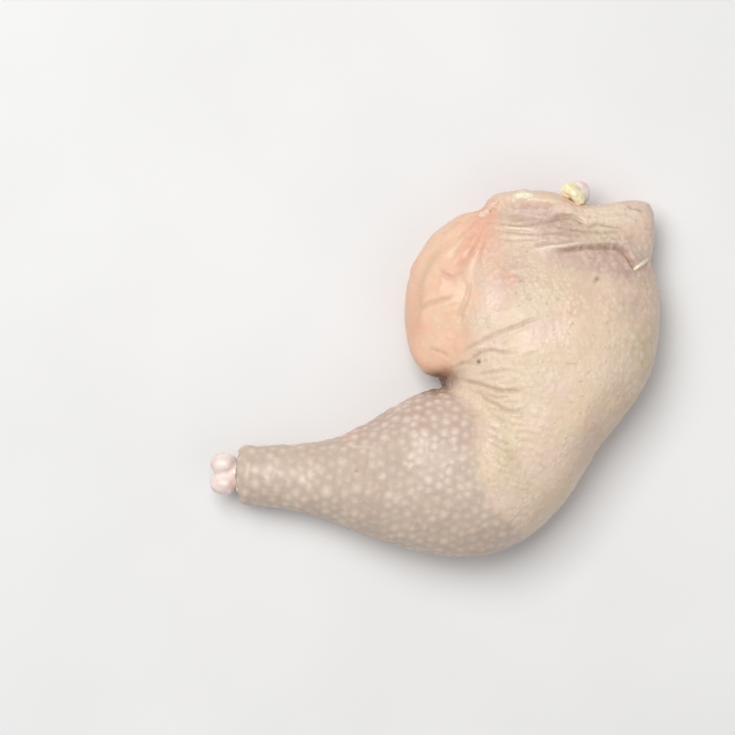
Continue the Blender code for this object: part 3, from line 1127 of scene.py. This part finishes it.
def skin_zones(nodes, place, mottle):
    """The colours of the smooth skin, the lobe and the drumstick, with their tinted patches."""
    broad = nodes.noise(place, 0.020, detail=3.0)
    color = nodes.blend(nodes.remap(broad, 0.35, 0.65), CREAM, PINK_CREAM)
    blotches = nodes.noise(nodes.stretched(place, (1.0, 1.3, 1.0)), 0.0075, detail=4.0, roughness=0.65)
    color = nodes.blend(nodes.remap(blotches, 0.50, 0.72, 0.0, 0.5), color, OLIVE_CREAM)
    lobe = nodes.blend(nodes.remap(mottle, 0.35, 0.65), PEACH, WARM_CREAM)
    color = nodes.blend(nodes.mask("lobe"), color, lobe)
    drum = nodes.blend(nodes.remap(mottle, 0.35, 0.65), GREY_MAUVE, DRUM_GROUND)
    color = nodes.blend(nodes.mask("drumstick"), color, drum)
    uneven = nodes.remap(mottle, 0.2, 0.7, 0.75, 1.0)
    for name, tint, strength in (
        # The mauve tint is partly painted shade.
        ("mauve_and_shade", MAUVE_AND_SHADE_TINT, 0.95),
        ("yellow", YELLOW_GREEN, 0.6),
        ("flush", SALMON, 0.7),
        # The pale tint is partly painted highlight on ridge tops and wrinkle crests.
        ("pale", PALE_AND_HIGHLIGHT, 0.8),
    ):
        share = nodes.math("MULTIPLY", nodes.math("MULTIPLY", nodes.mask(name), strength), uneven)
        color = nodes.blend(share, color, tint)
    color = nodes.blend(nodes.math("MULTIPLY", nodes.mask("bump"), 0.72), color, BUMP_PALE)
    # Painted shade in the creases and hollows, and the dark pores.
    return nodes.blend(nodes.mask("crease"), color, SHADE_AND_PORE_BROWN)


def flesh_color(nodes, place):
    """Smooth raw muscle with fine strands, and paler tissue between its bundles."""
    strands = nodes.noise(nodes.stretched(place, (1.0, 1.0, 0.22)), 0.0016, detail=2.0)
    clouds = nodes.noise(place, 0.007, detail=2.0)
    muscle = nodes.blend(nodes.remap(clouds, 0.35, 0.65), RAW_FLESH, FLESH_LIGHT)
    muscle = nodes.blend(nodes.remap(strands, 0.50, 0.72, 0.0, 0.45), muscle, FLESH_PALE)
    return nodes.blend(nodes.mask("fascia"), muscle, FLESH_PALE)


def skin_material():
    made, nodes, shader = wet_material("raw chicken skin", (1.0, 0.4, 0.25))
    place = nodes.place()
    mottle = nodes.noise(place, 0.0055, detail=4.0, roughness=0.6)
    crepe = nodes.add("ShaderNodeGroup", node_tree=bpy.data.node_groups["crepe"])
    crepe.inputs["Grain Size"].default_value = 1.7 * MM
    off_lobe = nodes.remap(nodes.mask("lobe"), 0.0, 1.0, 1.0, 0.35)
    off_drumstick = nodes.remap(nodes.mask("drumstick"), 0.0, 1.0, 1.0, 0.45)
    rough_skin = nodes.math("MULTIPLY", off_lobe, off_drumstick)
    grains = nodes.math("MULTIPLY", crepe.outputs["Grains"], rough_skin)
    pits = nodes.math("MULTIPLY", crepe.outputs["Pits"], rough_skin)

    color = skin_zones(nodes, place, mottle)
    color = nodes.blend(nodes.math("MULTIPLY", grains, 0.34), color, SPECK_PALE)
    color = nodes.blend(nodes.math("MULTIPLY", pits, 0.34), color, PIT_BROWN)
    color = nodes.blend(nodes.mask("flesh"), color, flesh_color(nodes, place))
    color = nodes.blend(nodes.mask("rim"), color, FAT_RIM)
    nodes.feed(shader.inputs["Base Color"], color)
    nodes.feed(shader.inputs["Roughness"], wet_gloss(nodes, 0.52, 0.34, 0.009))
    relief = nodes.math("SUBTRACT", grains, nodes.math("MULTIPLY", pits, 0.6))
    on_skin = nodes.remap(nodes.mask("flesh"), 0.0, 1.0, 1.0, 0.15)
    fine_relief = nodes.math("MULTIPLY", relief, on_skin)
    nodes.feed(shader.inputs["Normal"], nodes.bump(fine_relief, 0.80, 0.20 * MM))
    shader.inputs["Coat Weight"].default_value = 0.08
    shader.inputs["Coat Roughness"].default_value = 0.25
    return made


def simple_wet_material(name, first, second, size, radius, dull=0.42, shiny=0.22):
    made, nodes, shader = wet_material(name, radius)
    place = nodes.place()
    mottle = nodes.noise(place, size, detail=4.0, roughness=0.6)
    nodes.feed(shader.inputs["Base Color"], nodes.blend(nodes.remap(mottle, 0.38, 0.64), first, second))
    nodes.feed(shader.inputs["Roughness"], wet_gloss(nodes, dull, shiny, 0.004))
    nodes.feed(shader.inputs["Normal"], nodes.bump(mottle, 0.2, 0.2 * MM))
    return made


def floor_material():
    made = bpy.data.materials.new("pale surface")
    made.use_nodes = True
    nodes = Nodes(made.node_tree)
    shader = made.node_tree.nodes["Principled BSDF"]
    clouds = nodes.noise(nodes.place(), 0.08, detail=2.0)
    color = nodes.blend(nodes.remap(clouds, 0.3, 0.7), (0.79, 0.785, 0.78), (0.82, 0.815, 0.81))
    nodes.feed(shader.inputs["Base Color"], color)
    shader.inputs["Roughness"].default_value = 0.6
    return made


# ---- stage --------------------------------------------------------------------------------------


def make_floor():
    bpy.ops.mesh.primitive_plane_add(size=FLOOR_SIZE, location=(0, 0, -FLOOR_DROP))
    floor = bpy.context.object
    floor.name = "floor"
    floor.data.materials.append(floor_material())


def area_lamp(name, place, size, power):
    bpy.ops.object.light_add(type="AREA", location=place)
    lamp = bpy.context.object
    lamp.name = name
    lamp.data.size = size
    lamp.data.energy = power
    lamp.rotation_euler = (-Vector(place)).to_track_quat("-Z", "Y").to_euler()


def make_lights():
    area_lamp("key_lamp", (-0.38, 0.44, 1.40), 0.9, 17.5)
    area_lamp("fill_lamp", (0.7, -0.6, 1.2), 1.2, 2.5)
    world = bpy.data.worlds.new("soft room")
    bpy.context.scene.world = world
    world.use_nodes = True
    sky = world.node_tree.nodes["Background"]
    sky.inputs["Color"].default_value = (1.0, 1.0, 1.0, 1.0)
    sky.inputs["Strength"].default_value = 0.34


def make_camera():
    data = bpy.data.cameras.new("camera")
    camera = bpy.data.objects.new("camera", data)
    bpy.context.scene.collection.objects.link(camera)
    data.sensor_width = SENSOR_WIDTH
    data.lens = SENSOR_WIDTH * VIEW_HEIGHT / VIEW_WIDTH
    above = to_metres((*VIEW_CENTRE, 0))
    camera.location = (above.x, above.y, VIEW_LEVEL + VIEW_HEIGHT)
    bpy.context.scene.camera = camera


for old in list(bpy.data.objects):
    bpy.data.objects.remove(old, do_unlink=True)
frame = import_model()
KNEE = knee_place()
bpy.context.scene.view_settings.view_transform = "Standard"

wet_gloss_group()
crepe_group()
skin = make_skin()
skin.data.materials.append(skin_material())
fat = make_fat()
fat.data.materials.append(simple_wet_material("raw fat", FAT_YELLOW, FAT_PALE, 0.003, (1.0, 0.6, 0.3)))
fat_slivers = make_fat_slivers(skin)
pale_fat = simple_wet_material("pale fat", FAT_PALE, FAT_PEACH, 0.003, (1.0, 0.6, 0.3))
fat_slivers.data.materials.append(pale_fat)
torn_skin = make_torn_skin(skin)
torn_pink = simple_wet_material("torn skin", TORN_PINK, TORN_PALE, 0.003, (1.0, 0.4, 0.3))
torn_skin.data.materials.append(torn_pink)
# A dark mound of flesh that fills the fold's notch as painted shade.
shaded_fold_web = make_fold_web()
fold_shade_material = simple_wet_material(
    "shaded deep fold", FOLD_SHADE_DARK, FOLD_SHADE_MAUVE, 0.006, (1.0, 0.4, 0.3), dull=0.75, shiny=0.60
)
shaded_fold_web.data.materials.append(fold_shade_material)
gristle = simple_wet_material("wet gristle", CARTILAGE, KNOB_PINK, 0.005, (1.0, 0.5, 0.4))
hip_ball = fine_copy("hip_ball", "thigh_bone", 0.50 * MM, 6.0, 0.85)
hip_ball.data.materials.append(gristle)
ankle_knobs = fine_copy("ankle_knobs", "shank_bone", 0.50 * MM, 3.6, 0.65)
ankle_knobs.data.materials.append(gristle)
tendons = make_tendons()
tendons.data.materials.append(simple_wet_material("tendon", TENDON, BONE_BLUSH, 0.004, (1.0, 0.5, 0.4)))

for piece, node, slot in (
    (skin, "leg", "skin"),
    (torn_skin, "leg", "skin"),
    (shaded_fold_web, "leg", "skin"),
    (fat, "hip_fat", "fat"),
    (fat_slivers, "hip_fat", "fat"),
    (hip_ball, "thigh_bone", "bone"),
    (ankle_knobs, "shank_bone", "bone"),
    (tendons, "shank_bone", "bone"),
):
    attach(piece, "root")
    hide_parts(node)

make_floor()
make_lights()
make_camera()
